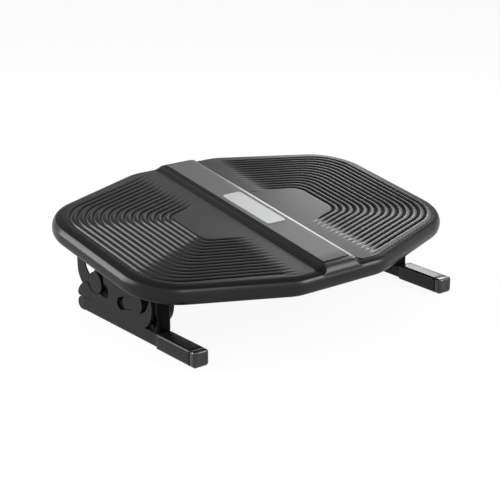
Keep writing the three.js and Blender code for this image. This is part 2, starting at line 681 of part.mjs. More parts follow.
  // Rear arm: its heel rests on the rear stop, its window shows below the rim
  const armFront = ([backShare, riseShare]) => {
    const y = boss.x + backShare * armReach;
    return new THREE.Vector2(y, boss.y + riseShare * (hangTop(y).y - boss.y));
  };
  const armOutline = [
    ...arc(boss.x, boss.y, bossRadius - 2 * clearance, 180, heelFromDegrees),
    ...heelShares.map(armPoint), hangTop(boss.x + armReach), ...armFrontShares.map(armFront)];
  add(`${hand}_rear_arm`, cut(
    plate(armOutline, hangerFrom, armThickness),
    plate(windowShares.map(armPoint), hangerFrom - overrun, armThickness + 2 * overrun)), 'powder');
  add(`${hand}_arm_boss`, plate(
    disc(boss, bossRadius), bossInset, hangerFrom - clearance - bossInset), 'powder');

  // Heel guard: a plate on the bar's rear end, outside the arm's heel
  const guardPoint = ([frontShare, riseShare]) => at(
    barLength - frontShare * guardRise, cheekFoot + riseShare * guardRise);
  const stopFront = front(cheekFront + cheekLength + clearance);
  add(`${hand}_heel_guard`, plate([
    new THREE.Vector2(stopFront, cheekFoot), ...guardShares.map(guardPoint),
    new THREE.Vector2(stopFront, cheekFoot + guardFrontShare * guardRise)],
  barInset, cheekThickness), 'powder');

  // Rear stop: rubber wedge on the bar, under the arm's heel
  const heelFrom = armPoint(heelShares[0]);
  const heelTo = armPoint(heelShares[1]);
  const heelSlope = (heelTo.y - heelFrom.y) / (heelTo.x - heelFrom.x);
  const heelLine = (y) => heelFrom.y + (y - heelFrom.x) * heelSlope - clearance;
  const stopEnd = at(barLength, 0).x;
  const stopHeight = heelLine(heelTo.x) - cheekFoot;
  const stopFrom = barInset + cheekThickness + clearance;
  add(`${hand}_rear_stop`, plate([
    new THREE.Vector2(stopFront, cheekFoot),
    ...stopShares.map(([backShare, riseShare]) => new THREE.Vector2(
      stopEnd - backShare * stopHeight, cheekFoot + riseShare * stopHeight)),
    new THREE.Vector2(heelTo.x - stopShares[0][0] * stopHeight, heelLine(heelTo.x - stopShares[0][0] * stopHeight)),
    new THREE.Vector2(heelFrom.x, heelLine(heelFrom.x)),
    new THREE.Vector2(stopFront, heelLine(stopFront) - clearance)],
  stopFrom, barInset + barWidth - stopFrom), 'rubber');

  // Pivot: bolt, bush in the slot's front end, washers, spacer tube, nut and outside cap
  add(`${hand}_pivot_bolt`, plate(disc(pivot, boltRadius), barInset, legDepth - barInset + clearance + nutThickness), 'steel');
  add(`${hand}_pivot_bush`, cut(
    plate(disc(pivot, bushRadius), barInset, cheekThickness),
    plate(disc(pivot, boltRadius + clearance), barInset - overrun, cheekThickness + 2 * overrun)), 'nylon');
  const ring = (radius, from, thickness) => cut(
    plate(disc(pivot, radius), from, thickness),
    plate(disc(pivot, boltRadius + clearance), from - overrun, thickness + 2 * overrun));
  add(`${hand}_outer_washer`, ring(washerRadius, washerFrom, washerThickness), 'nylon');
  add(`${hand}_inner_washer`, ring(washerRadius, innerWasherFrom, washerThickness), 'nylon');
  const spacerFrom = hangerFrom + hangerThickness + clearance;
  add(`${hand}_pivot_spacer`, ring(spacerRadius, spacerFrom, innerLugFrom - clearance - spacerFrom), 'steel');
  add(`${hand}_pivot_nut`, cut(
    plate(arc(pivot.x, pivot.y, nutRadius, 0, 360, 6).slice(0, -1), legDepth + clearance, nutThickness),
    plate(disc(pivot, boltRadius + clearance), legDepth - overrun, nutThickness + 2 * overrun)), 'steel');
  add(`${hand}_pivot_cap`, plate(
    disc(pivot, capRadius), barInset - clearance - capThickness, capThickness), 'powder');

  // Lock slider: a block in the slot, with a lip behind the cheek
  const sliderEnd = onSlot(slotLength - sliderTravel);
  const sliderHalf = slotHalfWidth - clearance;
  const sliderInset = barInset + cheekThickness - sliderThickness;
  add(`${hand}_lock_slider`, join(
    plate(flatStart(onSlot(sliderStart), sliderEnd, sliderHalf), sliderInset, sliderThickness + 2 * clearance),
    plate(flatStart(onSlot(sliderLipStart), sliderEnd, sliderHalf + sliderLip), washerFrom, washerThickness)),
  'powder');

  // Flange of the joining tube, on the inner cheek
  add(`${hand}_tube_flange`, cut(
    plate(disc(tubeCentre, tubeFlangeRadius), legDepth + clearance, tubeFlangeDepth),
    plate(disc(tubeCentre, tubeRadius + clearance), legDepth + clearance + tubeFlangeFloor, tubeFlangeDepth)),
  'glossy');
}

// Joining tube: keeps the two legs square to each other
const tubeEnd = outerFace - legDepth - tubeFlangeFloor - 2 * clearance;
add('joining_tube', cut(
  across(disc(tubeCentre, tubeRadius), -tubeEnd, tubeEnd),
  across(disc(tubeCentre, tubeRadius - tubeWall), -tubeEnd - overrun, tubeEnd + overrun)), 'powder');

export default footrest;
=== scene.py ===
import math

import bmesh
import bpy
from mathutils import Matrix, Quaternion, Vector


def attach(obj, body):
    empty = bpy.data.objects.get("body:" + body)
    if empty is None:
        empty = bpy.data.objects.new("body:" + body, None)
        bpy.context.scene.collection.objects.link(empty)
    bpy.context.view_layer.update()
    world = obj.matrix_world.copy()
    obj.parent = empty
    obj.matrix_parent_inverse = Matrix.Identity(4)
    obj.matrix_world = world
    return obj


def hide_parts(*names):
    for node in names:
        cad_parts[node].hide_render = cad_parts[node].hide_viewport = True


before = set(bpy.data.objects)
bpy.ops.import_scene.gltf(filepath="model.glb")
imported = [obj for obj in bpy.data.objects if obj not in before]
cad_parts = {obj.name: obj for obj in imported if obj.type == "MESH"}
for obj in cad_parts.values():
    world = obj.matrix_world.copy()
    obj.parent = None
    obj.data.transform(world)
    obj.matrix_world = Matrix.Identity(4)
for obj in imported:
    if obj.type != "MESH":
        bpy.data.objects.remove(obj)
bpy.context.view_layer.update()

# The view: a long lens, a little above the deck and to the left of its heel edge. Its place
# and turn come from the legs' parallel edges and from the deck's outline.
camera_azimuth = math.radians(-38.41)
camera_elevation = math.radians(18.64)
camera_place = Vector((-1.0073, -1.2664, 0.5998))
camera_lens = 104.88
lens_film = 36
camera_back = Vector((
    math.sin(camera_azimuth) * math.cos(camera_elevation),
    -math.cos(camera_azimuth) * math.cos(camera_elevation), math.sin(camera_elevation)))
camera_right = Vector((math.cos(camera_azimuth), math.sin(camera_azimuth), 0))
camera_up = camera_back.cross(camera_right)
camera_turn = Matrix((camera_right, camera_up, camera_back)).transposed()
camera_data = bpy.data.cameras.new("camera")
camera_data.sensor_width = lens_film
camera_data.lens = camera_lens
camera = bpy.data.objects.new("camera", camera_data)
camera.matrix_world = Matrix.Translation(camera_place) @ camera_turn.to_4x4()
bpy.context.scene.collection.objects.link(camera)
bpy.context.scene.camera = camera
bpy.context.scene.view_settings.view_transform = "Standard"

# Stage: a plain pale floor that runs out of the picture on all sides. It takes the object's
# shadow, and shows almost white wherever nothing stands on it.
floor_size = 12
floor_grey = 0.88
floor_white_share = 0.93


class Wire:
    """A value that runs from one node's output to another's input."""

    def __init__(self, nodes, socket):
        self.nodes = nodes
        self.socket = socket

    def maths(self, operation, other):
        return self.nodes.node("ShaderNodeMath", {"operation": operation}, {0: self, 1: other})

    def __add__(self, other):
        return self.maths("ADD", other)

    def __mul__(self, other):
        return self.maths("MULTIPLY", other)

    __radd__ = __add__
    __rmul__ = __mul__


class Nodes:
    """The nodes of one material or of the surround."""

    def __init__(self, owner):
        owner.use_nodes = True
        self.tree = owner.node_tree

    def node(self, kind, settings=None, sockets=None, out=0):
        made = self.tree.nodes.new(kind)
        for name, value in (settings or {}).items():
            setattr(made, name, value)
        for name, value in (sockets or {}).items():
            if isinstance(value, Wire):
                self.tree.links.new(value.socket, made.inputs[name])
            else:
                made.inputs[name].default_value = value
        return Wire(self, made.outputs[out])

    def show_white(self, lit, white_kind, output, share):
        """White to the camera, metal and glass, by a share, and the lit shader to all other rays."""
        seen = self.node("ShaderNodeLightPath", out="Is Camera Ray")
        for ray in ("Is Glossy Ray", "Is Transmission Ray"):
            seen = seen.maths("MAXIMUM", self.node("ShaderNodeLightPath", out=ray))
        white = self.node(white_kind, {}, {"Color": (1, 1, 1, 1), "Strength": 1})
        mix = self.node("ShaderNodeMixShader", {}, {
            0: seen * share, 1: Wire(self, lit.outputs[0]), 2: white})
        self.tree.links.new(mix.socket, self.tree.nodes[output].inputs["Surface"])


class Finish(Nodes):
    """One surface finish: a material, and the record's slot that it stands for."""

    def __init__(self, name, slot, **uniform):
        self.material = bpy.data.materials.new(name)
        super().__init__(self.material)
        self.slot = slot
        self.shader = self.tree.nodes["Principled BSDF"]
        for socket, value in uniform.items():
            self.shader.inputs[socket.replace("_", " ")].default_value = value

    def feed(self, socket, wire):
        self.tree.links.new(wire.socket, self.shader.inputs[socket])

    def place(self, stretch=(1, 1, 1)):
        """Position on the piece in metres, stretched for a grain that has a direction."""
        return self.node("ShaderNodeMapping", {}, {
            "Vector": self.node("ShaderNodeTexCoord", out="Object"), "Scale": stretch})

    def noise(self, scale, detail, place=None):
        return self.node("ShaderNodeTexNoise", {}, {
            "Vector": place or self.place(), "Scale": scale, "Detail": detail, "Roughness": 0.55}, out="Fac")

    def mark(self, name):
        """A value that the mesh holds for each of its points."""
        return self.node("ShaderNodeAttribute", {"attribute_name": name}, out="Fac")

    def shade(self, factor, first, second):
        """A colour between two, each a tint or another node's colour, steered by a factor."""
        first, second = ((*tint, 1) if isinstance(tint, tuple) else tint for tint in (first, second))
        return self.node("ShaderNodeMix", {"data_type": "RGBA"}, {
            "Factor": factor, 6: first, 7: second}, out=2)

    def bump(self, height, strength, distance):
        self.feed("Normal", self.node("ShaderNodeBump", {}, {
            "Height": height, "Strength": strength, "Distance": distance}))


floor_mesh = bpy.data.meshes.new("floor")
floor_mesh.from_pydata(
    [(x * floor_size / 2, y * floor_size / 2, 0) for x, y in ((-1, -1), (1, -1), (1, 1), (-1, 1))],
    [], [(0, 1, 2, 3)])
floor = bpy.data.objects.new("floor", floor_mesh)
bpy.context.scene.collection.objects.link(floor)
floor_paint = Finish(
    "pale_floor", None, Base_Color=(floor_grey, floor_grey, floor_grey, 1), Roughness=0.9,
    Specular_IOR_Level=0)
floor_paint.show_white(floor_paint.shader, "ShaderNodeEmission", "Material Output", floor_white_share)
floor_mesh.materials.append(floor_paint.material)

# Studio light: a white surround, one broad lamp overhead, and eight smaller ones that draw the
# left rim, the ribs beside it, the spine's nose, the front rim, the right ribs and the sheen.
surround_strength = 0.32
world = bpy.data.worlds.new("studio")
surround = Nodes(world)
bpy.context.scene.world = world
surround_light = surround.tree.nodes["Background"]
surround_light.inputs["Color"].default_value = (1, 1, 1, 1)
surround_light.inputs["Strength"].default_value = surround_strength
surround.show_white(surround_light, "ShaderNodeBackground", "World Output", 1)


def softbox(name, place, aim, width, height, power, roll=0):
    """A lamp of a width and height in metres that faces its aim, rolled by degrees."""
    data = bpy.data.lights.new(name, "AREA")
    data.shape = "RECTANGLE"
    data.size = width
    data.size_y = height
    data.energy = power
    lamp = bpy.data.objects.new(name, data)
    lamp.location = place
    lamp.rotation_mode = "QUATERNION"
    facing = (Vector(aim) - Vector(place)).to_track_quat("-Z", "Y")
    lamp.rotation_quaternion = facing @ Quaternion((0, 0, 1), math.radians(roll))
    bpy.context.scene.collection.objects.link(lamp)


softbox("top_light", (0.1, 0.1, 2.0), (0, 0, 0.1), 1.4, 1.4, 3.5)
softbox("rear_left_light", (-1.32, 1.14, 0.62), (-0.2, 0, 0.1), 0.6, 0.95, 18)
softbox("rib_light", (-0.69, 1.1, 1.27), (-0.13, 0, 0.1), 0.75, 0.45, 13, roll=-51)
softbox("front_light", (0.88, -0.98, 0.94), (0, -0.15, 0.08), 0.6, 0.34, 4)
softbox("rim_light", (0.90, -1.22, 0.68), (0, -0.15, 0.08), 0.7, 0.4, 11)
softbox("left_front_light", (-0.28, -1.36, 0.90), (-0.02, -0.15, 0.08), 0.55, 0.36, 4)
softbox("corner_light", (-1.46, 0.60, 0.84), (-0.2, 0, 0.1), 0.55, 0.7, 7)
softbox("right_light", (1.05, 0.28, 0.86), (0.15, -0.05, 0.1), 0.38, 0.38, 4)
softbox("sheen_light", (0.90, 0.72, 0.50), (0.1, 0, 0.1), 0.28, 0.36, 2.4)

# Deck place: the deck's pieces are drawn flat, then tilted to where the solids lie. The top
# of the cover strip gives the tilt, and how high the flat drawing is lifted.
cover_top = 0.0177
cover_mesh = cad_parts["centre_cover"].data
cover_face = max(
    (face for face in cover_mesh.polygons if face.normal.z > 0.9), key=lambda face: face.area)
deck_tilt = math.atan2(-cover_face.normal.y, cover_face.normal.z)
deck_lift = (cover_face.center.dot(cover_face.normal) - cover_top) / cover_face.normal.z
deck_place = Matrix.Translation((0, 0, deck_lift)) @ Matrix.Rotation(deck_tilt, 4, "X")

# Deck shell: one injection moulding in glossy black plastic, with a rounded rim, a margin
# that rises to the pads, and a seat for each pad. It is screwed to the tray below.
gloss = Finish(
    "glossy_black_moulding", "shell_gloss", Specular_IOR_Level=0.03, Coat_Roughness=0.27, Coat_IOR=1.45)
gloss_polish = gloss.mark("polish")
gloss_mottle = gloss.noise(9, 2)
gloss_grain = gloss.noise(900, 2)
gloss.feed("Base Color", gloss.shade(gloss_mottle, (0.0065, 0.0065, 0.007), (0.0095, 0.0095, 0.0102)))
gloss.feed("Roughness", 0.27 + gloss_mottle * 0.08 + gloss_grain * 0.04)
gloss.feed("Coat Weight", gloss_polish * (0.46 + gloss_mottle * 0.08))
gloss.bump(gloss_grain, 0.05, 0.00005)

shell_half_width = 0.2204
shell_half_depth = 0.1595
shell_flat_half = 0.0605
shell_edge = math.radians(19)
shell_corner = 0.064
shell_shoulder = 0.060
corner_steps = 20
rim_bulge = 0.003
rim_foot = 0.0024
rim_top = 0.0092
rim_bottom = 0.010
foot_wall = 0.003
margin_rise = 0.0017
margin_top = rim_top + margin_rise
margin_steps = 8
pad_outer = 0.2102
pad_half_depth = 0.1528
pad_flat_half = 0.056
pad_edge = math.radians(18.3)
pad_corner = 0.058
joint_gap = 0.0003
seat_level = margin_top - 0.0027
seat_easing = 0.0005
seat_wall = 0.0004
seat_ledge = 0.006


def rounded(corners, steps):
    """A closed loop through corners (x, y, radius), every corner an arc of as many steps."""
    loop = []
    for index, (x, y, radius) in enumerate(corners):
        corner = Vector((x, y))
        back = (Vector(corners[index - 1][:2]) - corner).normalized()
        ahead = (Vector(corners[(index + 1) % len(corners)][:2]) - corner).normalized()
        half = back.angle(ahead) / 2
        centre = corner + (back + ahead).normalized() * radius / math.sin(half)
        start = corner + back * radius / math.tan(half) - centre
        turn = math.pi - 2 * half
        side = 1 if back.x * ahead.y - back.y * ahead.x < 0 else -1
        for step in range(steps + 1):
            angle = side * turn * step / steps
            loop.append(centre + Vector((
                start.x * math.cos(angle) - start.y * math.sin(angle),
                start.x * math.sin(angle) + start.y * math.cos(angle))))
    return loop


def smooth_curve(points, steps):
    """Points of a Catmull-Rom curve through the given ones."""
    curve = []
    ends = [points[0], *points, points[-1]]
    for a, b, c, d in zip(ends, ends[1:], ends[2:], ends[3:]):
        for step in range(steps):
            t = step / steps
            curve.append(tuple(
                0.5 * (2 * q + (r - p) * t + (2 * p - 5 * q + 4 * r - s) * t ** 2
                       + (3 * q - p - 3 * r + s) * t ** 3)
                for p, q, r, s in zip(a, b, c, d)))
    return [*curve, tuple(points[-1])]


def clamped(value):
    return min(max(value, 0), 1)


def dress(name, mesh, body, finish, nodes):
    """A piece with its finish, riding on its body and standing for its solids."""
    mesh.materials.clear()
    mesh.materials.append(finish.material)
    mesh.polygons.foreach_set("use_smooth", [True] * len(mesh.polygons))
    piece = bpy.data.objects.new(name, mesh)
    bpy.context.scene.collection.objects.link(piece)
    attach(piece, body)
    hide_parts(*nodes)
    return piece


def build(name, points, faces, body, finish, nodes, place=None, marks=None):
    """A piece from points and faces. A place tilts it with the deck, and an open sheet's faces
    then look up. Marks are a value for each point, which the finish reads by its name."""
    mesh = bpy.data.meshes.new(name)
    mesh.from_pydata([tuple(p) for p in points], [], faces)
    for mark, values in (marks or {}).items():
        mesh.attributes.new(mark, "FLOAT", "POINT").data.foreach_set("value", values)
    work = bmesh.new()
    work.from_mesh(mesh)
    bmesh.ops.remove_doubles(work, verts=work.verts, dist=0.000002)
    bmesh.ops.recalc_face_normals(work, faces=work.faces)
    if place is not None and sum(face.normal.z * face.calc_area() for face in work.faces) < 0:
        bmesh.ops.reverse_faces(work, faces=work.faces)
    work.to_mesh(mesh)
    work.free()
    if place is not None:
        mesh.transform(place)
    return dress(name, mesh, body, finish, nodes)


def ring_faces(rings, count, closed=True):
    """Quads between successive rings of as many points, as index lists."""
    last = count if closed else count - 1
    return [
        (ring * count + k, ring * count + (k + 1) % count,
         (ring + 1) * count + (k + 1) % count, (ring + 1) * count + k)
        for ring in range(rings - 1) for k in range(last)]


def eight_sided(width, depth, flat, edge, corner, shoulder):
    """The deck's outline: straight ends and fronts, joined by sloping edges."""
    side = depth - (width - flat) * math.tan(edge)
    return rounded([
        (width, -side, corner), (width, side, corner), (flat, depth, shoulder),
        (-flat, depth, shoulder), (-width, side, corner), (-width, -side, corner),
        (-flat, -depth, shoulder), (flat, -depth, shoulder)], corner_steps)


def shell_loop(inset):
    return eight_sided(
        shell_half_width - inset, shell_half_depth - inset,
        shell_flat_half - inset * math.tan(shell_edge / 2),
        shell_edge, shell_corner - inset, shell_shoulder - inset)


def well_loop(grow):
    return eight_sided(
        pad_outer + grow, pad_half_depth + grow, pad_flat_half + grow * math.tan(pad_edge / 2),
        pad_edge, pad_corner + grow, shell_shoulder + grow)


def margin_level(share):
    """The margin's level, from nought at the rim's crease to one at the pads."""
    return rim_top + margin_rise * math.sin(share * math.pi / 2)


# Rim section from the foot up: share of the foot's inset, or below nought of the bulge, and
# share of the level. The rim is polished above its lower edge, and the crease is dull.
rim_shares = [
    (1.0, -1.0), (0.35, -0.95), (-0.3, -0.78), (-0.85, -0.45), (-1.0, -0.05), (-0.86, 0.38),
    (-0.42, 0.7), (0.0, 0.9)]
crease_shares = [(0.12, 0.95), (0.3, 0.985), (0.6, 1.0)]
crease_inset = crease_shares[-1][0] * rim_foot
rim_curve = smooth_curve(rim_shares, 5) + crease_shares
dull_below = 0.9
polish_run = 0.7
crease_run = 0.08
shell_points = []
shell_polish = []


def shell_ring(loop, level, polish=0.0):
    shell_points.extend((p.x, p.y, level) for p in loop)
    shell_polish.extend([polish] * len(loop))


for rise in (foot_wall, 0):
    shell_ring(shell_loop(rim_foot + foot_wall), rise - rim_bottom)
for inset_share, level_share in rim_curve:
    inset = inset_share * rim_foot if inset_share > 0 else max(inset_share, -1) * rim_bulge
    level = level_share * (rim_bottom if level_share < 0 else rim_top)
    rim_polish = clamped((level_share + dull_below) / polish_run) * clamped((1 - level_share) / crease_run)
    shell_ring(shell_loop(inset), level, rim_polish)
margin_outer = shell_loop(crease_inset)
margin_inner = well_loop(0)
for step in range(1, margin_steps + 1):
    share = step / margin_steps
    shell_ring([a.lerp(b, share) for a, b in zip(margin_outer, margin_inner)], margin_level(share))
for inset, level in (
        (seat_wall / 2, margin_top - seat_easing / 5), (seat_wall, margin_top - seat_easing),
        (seat_wall, seat_level), (seat_ledge, seat_level)):
    shell_ring(well_loop(joint_gap - inset), level)
loop_count = len(margin_outer)
build("deck_shell_moulding", shell_points, ring_faces(len(shell_points) // loop_count, loop_count),
      "deck", gloss, ["deck_shell"], deck_place, {"polish": shell_polish})

# Spine of the shell: its flanks run up from the pads' inner edges to the cover strip, and
# its ends sweep down into the margin as a nose. It is part of the same moulding.
spine_foot_half = 0.0309
spine_foot_top = 0.0112
spine_foot_lap = 0.0004
spine_shoulder_half = 0.0242
spine_shoulder_top = 0.0161
spine_top_half = 0.0188
spine_top = 0.0174
spine_skirt = 0.0385
skirt_start = 0.1340
flank_fall = (spine_shoulder_top - spine_foot_top) / (spine_foot_half - spine_shoulder_half)
flank_line = (
    (spine_top_half, spine_top), (spine_shoulder_half, spine_shoulder_top),
    (spine_foot_half, spine_foot_top),
    (spine_skirt, spine_foot_top - flank_fall * (spine_skirt - spine_foot_half)))
flank_steps = 44
recess_half = 0.01855
recess_reach = 0.1471
recess_depth = 0.0018
recess_wall = 0.0002
spine_nose = (
    (0.1475, 0.0174), (0.1500, 0.0171), (0.1525, 0.0162), (0.1550, 0.0147), (0.1572, 0.0126),
    (0.1590, 0.0100), (0.1602, 0.0076), (0.1610, 0.0062))
nose_line = smooth_curve(spine_nose, 6)
nose_steps = 40
nose_pinch = 0.0062
pinch_start = 0.1500
pinch_end = 0.1585
pinch_lead = 0.001
nose_easing = 0.0022
top_easing = 0.0003
foot_easing = 0.0008
margin_cover = 0.0003
# The shell's own section at the middle of its front edge, from the pad seat out over the rim
margin_end = shell_half_depth - crease_inset
front_section = [(pad_half_depth, margin_top)]
for step in range(1, margin_steps + 1):
    share = 1 - step / margin_steps
    front_section.append((margin_end - (margin_end - pad_half_depth) * share, margin_level(share)))
front_section += [
    (shell_half_depth - share * (rim_foot if share > 0 else rim_bulge), level * rim_top)
    for share, level in reversed(rim_curve[:-1]) if level > 0.4]


def eased(low, high, value):
    share = clamped((value - low) / (high - low))
    return share * share * (3 - 2 * share)


def rounded_min(a, b, radius):
    """The lower of two heights, with the edge where they meet rounded off."""
    if abs(a - b) >= radius:
        return min(a, b)
    return min(a, b) - (radius - abs(a - b)) ** 2 / (4 * radius)


def between(points, place):
    """The level at a place on a line of points that runs outwards."""
    for (a, low), (b, high) in zip(points, points[1:]):
        if place <= b:
            return low + (high - low) * max(place - a, 0) / (b - a)
    return points[-1][1]


def flank_height(x, v):
    """The flank's level: towards the deck's edge its foot draws in to the nose."""
    pinch = nose_pinch * eased(pinch_start, pinch_end, abs(v))
    lead = eased(spine_top_half - pinch_lead, spine_shoulder_half, abs(x))
    return between(flank_line, abs(x) + pinch * lead)


def hip(x, v):
    """How far the flank stands above the nose: the nose shows where this is above nought."""
    return flank_height(x, v) - between(nose_line, abs(v))


def spine_height(x, v):
    rise = rounded_min(flank_height(x, v), between(nose_line, abs(v)), nose_easing)
    ground = between(front_section, abs(v)) - margin_cover
    return -rounded_min(-rounded_min(spine_top, rise, top_easing), -ground, foot_easing)


# Polish of the spine: its right chamfer and its noses are bright, its shoulders half as much,
# and the left chamfer hardly at all.
chamfer_edge = 0.0011
left_chamfer_polish = 0.12
shoulder_polish = 0.5
nose_hip_low = -0.0003
nose_hip_high = 0.0009
nose_polish_start = 0.1478
nose_polish_full = 0.1490
nose_polish_half = 0.0275
nose_polish_edge = 0.0320


def spine_gloss(x, v):
    chamfer = (1 if x > 0 else left_chamfer_polish) * (
        1 - eased(spine_shoulder_half, spine_shoulder_half + chamfer_edge, abs(x)))
    shoulder = shoulder_polish * max(
        1 - abs(abs(x) - spine_shoulder_half - chamfer_edge / 2) / chamfer_edge, 0)
    nose = eased(nose_hip_low, nose_hip_high, hip(x, v)) * eased(
        nose_polish_start, nose_polish_full, abs(v)) * (
        1 - eased(nose_polish_half, nose_polish_edge, abs(x)))
    return max(chamfer, shoulder, nose)


spine_across = [recess_half * s for s in (0.0, 0.5, 0.98, 1.0)] + [
    recess_half + (spine_skirt - recess_half) * k / flank_steps for k in range(1, flank_steps + 1)]
spine_across = [-x for x in reversed(spine_across[1:])] + spine_across
spine_along = [0.0, 0.05, 0.1, 0.135, recess_reach - recess_wall] + [
    recess_reach + (spine_nose[-1][0] - recess_reach) * k / nose_steps for k in range(nose_steps + 1)]
spine_along = [-v for v in reversed(spine_along[1:])] + spine_along
spine_points = []
spine_polish = []
for v in spine_along:
    for x in spine_across:
        in_recess = abs(x) < recess_half - recess_wall / 2 and abs(v) < recess_reach - recess_wall / 2
        level = spine_top - recess_depth if in_recess else spine_height(x, v)
        spine_points.append((x, v, level))
        spine_polish.append(spine_gloss(x, v))


def stands_clear(x, v):
    """Whether a point of the spine lies on it or on its skirt, and not under a pad."""
    return abs(x) < spine_foot_half + spine_foot_lap or abs(v) > skirt_start


spine_faces = [
    face for face in ring_faces(len(spine_along), len(spine_across), closed=False)
    if all(stands_clear(*spine_points[k][:2]) for k in face)]
build("deck_spine_moulding", spine_points, spine_faces, "deck", gloss, ["deck_shell"], deck_place,
      {"polish": spine_polish})

# Pads: soft dark grey mouldings pressed into the shell's two seats. Fourteen nested grooves
# follow the outline and run out beside the spine, round a smooth middle for the heel.
pad_grip = Finish(
    "grained_pad_rubber", "pad_rubber", Specular_IOR_Level=0.02, Coat_Roughness=0.3, Coat_IOR=1.45)
pad_mottle = pad_grip.noise(14, 3)
pad_grain = pad_grip.noise(2600, 2)
pad_pores = pad_grip.node("ShaderNodeTexVoronoi", {"feature": "F1"}, {
    "Vector": pad_grip.place(), "Scale": 1500, "Randomness": 1}, out="Distance")
pad_groove_depth_shade = pad_grip.mark("groove")
pad_wear_and_sheen = pad_grip.mark("wear_and_sheen")
pad_face = pad_grip.shade(
    pad_mottle * 0.5 + pad_grain * 0.5, (0.0135, 0.0137, 0.0143), (0.020, 0.0203, 0.021))
# Painted shade: the base colour falls to near black by the groove mark, in the grooves' beds, and on the
# left pad also along the ribs' shallow cuts beside the deck's ends.
pad_grip.feed("Base Color", pad_grip.shade(pad_groove_depth_shade, pad_face, (0.003, 0.003, 0.0032)))
pad_grip.feed("Roughness", 0.34 + pad_mottle * 0.08 + pad_groove_depth_shade * 0.12)
# Painted sheen and shade in part: the coat follows a mark set apart for each pad by how the lamps fall on
# it.
pad_grip.feed("Coat Weight", (0.25 + pad_mottle * 0.08) * pad_wear_and_sheen)
pad_grip.bump(pad_grain * 0.6 + pad_pores * 0.4, 0.12, 0.0001)

pad_top = 0.0117
pad_foot = seat_level + joint_gap
pad_inner = 0.0312
pad_round = 0.0011
groove_count = 14
groove_inner = 0.0990
groove_pitch = 0.00808
groove_end_x = 0.045
groove_end_drift = 0.0004
groove_end_depth = 0.0521
groove_end_pitch = 0.00722
groove_edge = math.radians(17.75)
groove_corner = 0.018
groove_corner_growth = 0.0025
groove_corner_least = 0.004
groove_fade = 0.026
groove_depth = 0.0021
band_drop = 0.0004
heel_radius = 0.006
heel_stations = [pad_inner + heel_radius * s for s in (0, 0.03, 0.12, 0.3, 0.6, 1)]
heart_edge = -0.62
heart_steps = 8
pitch_steps = 20
fade_steps = 8
edge_steps = 6
side_steps = 5


def corner_reach(radius, edge):
    """How far before a pad's corner its arc begins."""
    return radius / math.tan((math.pi / 2 + edge) / 2)


def front_stations(grow, x_end, fade, x_bend):
    """Where a course has its points, from the spine side to the bend at its corner."""
    start = x_end + fade
    return [x - grow for x in heel_stations] + [(heel_stations[-1] + x_end) / 2, x_end] + [
        x_end + fade * s / fade_steps for s in range(1, fade_steps + 1)] + [
        start + (x_bend - start) * s / edge_steps for s in range(1, edge_steps)]


def outer_side(x_side, y_corner, radius, edge):
    """The rest of a course: its corner's arc and the outer side, as far as the side's middle."""
    centre = Vector((x_side - radius, y_corner - corner_reach(radius, edge)))
    quarter = math.pi / 2 - edge
    course = []
    for step in range(corner_steps + 1):
        angle = quarter - quarter * step / corner_steps
        course.append((centre.x + radius * math.cos(angle), centre.y + radius * math.sin(angle)))
    y_bend = course[-1][1]
    return course + [(x_side, y_bend * (1 - s / side_steps)) for s in range(1, side_steps + 1)]


def groove_line(k):
    """Half of the k-th groove's course, from the spine side to the middle of the outer side."""
    x_side = groove_inner + groove_pitch * k
    x_end = groove_end_x + groove_end_drift * k
    radius = max(groove_corner + groove_corner_growth * k, groove_corner_least)

    def y_at(x):
        return groove_end_depth + groove_end_pitch * k - (x - groove_end_x) * math.tan(groove_edge)

    x_bend = x_side - corner_reach(radius, groove_edge) * math.cos(groove_edge)
    course = [(x, y_at(max(x, x_end))) for x in front_stations(0, x_end, groove_fade, x_bend)]
    return course + outer_side(x_side, y_at(x_side), radius, groove_edge)


def pad_border(grow):
    """Half of the pad's own edge, with as many stations as a groove line."""
    outer = pad_outer + grow
    depth = pad_half_depth + grow
    inner = pad_inner - grow
    flat = pad_flat_half
    radius = pad_corner + grow
    bend = shell_shoulder * math.tan(pad_edge / 2)

    def edge_y(x):
        if x < inner + heel_radius:
            return depth - heel_radius + math.sqrt(max(heel_radius ** 2 - (inner + heel_radius - x) ** 2, 0))
        if x < flat - bend:
            return depth
        if x > flat + bend * math.cos(pad_edge):
            return depth - (x - flat) * math.tan(pad_edge)
        return depth - shell_shoulder + math.sqrt(max(shell_shoulder ** 2 - (x - flat + bend) ** 2, 0))

    x_bend = outer - corner_reach(radius, pad_edge) * math.cos(pad_edge)
    fade = flat + bend - groove_end_x
    course = [(x, edge_y(x)) for x in front_stations(grow, groove_end_x, fade, x_bend)]
    y_corner = depth - (outer - flat) * math.tan(pad_edge)
    return course + outer_side(outer, y_corner, radius, pad_edge)


def whole_course(half):
    """Both halves of a course, mirrored about the middle of the pad's depth."""
    return [(x, -y) for x, y in half] + [(x, y) for x, y in reversed(half[:-1])]


# Polish of the ribs: partly as feet wear them, partly painted sheen and shade.
# A cut of nought is a rib's crown, one the groove's bed.
end_start = math.radians(20)
end_full = math.radians(62)
end_depth_share = 0.30
bed_dulling = 0.97
rear_bed_dulling = 0.94
right_gain = 0.6
left_wall_polish = 0.25
left_wall_gain = 2.1
left_inward_share = 0.2


def ends_share(x, y, k):
    """How far along a rib lies beside the deck's end: one there, nought at the front and rear."""
    return eased(end_start, end_full, math.atan2(
        max(x - (groove_inner + groove_pitch * k - groove_corner - groove_corner_growth * k), 0),
        max(abs(y) - (groove_end_depth + groove_end_pitch * k) * end_depth_share, 0.0001)))


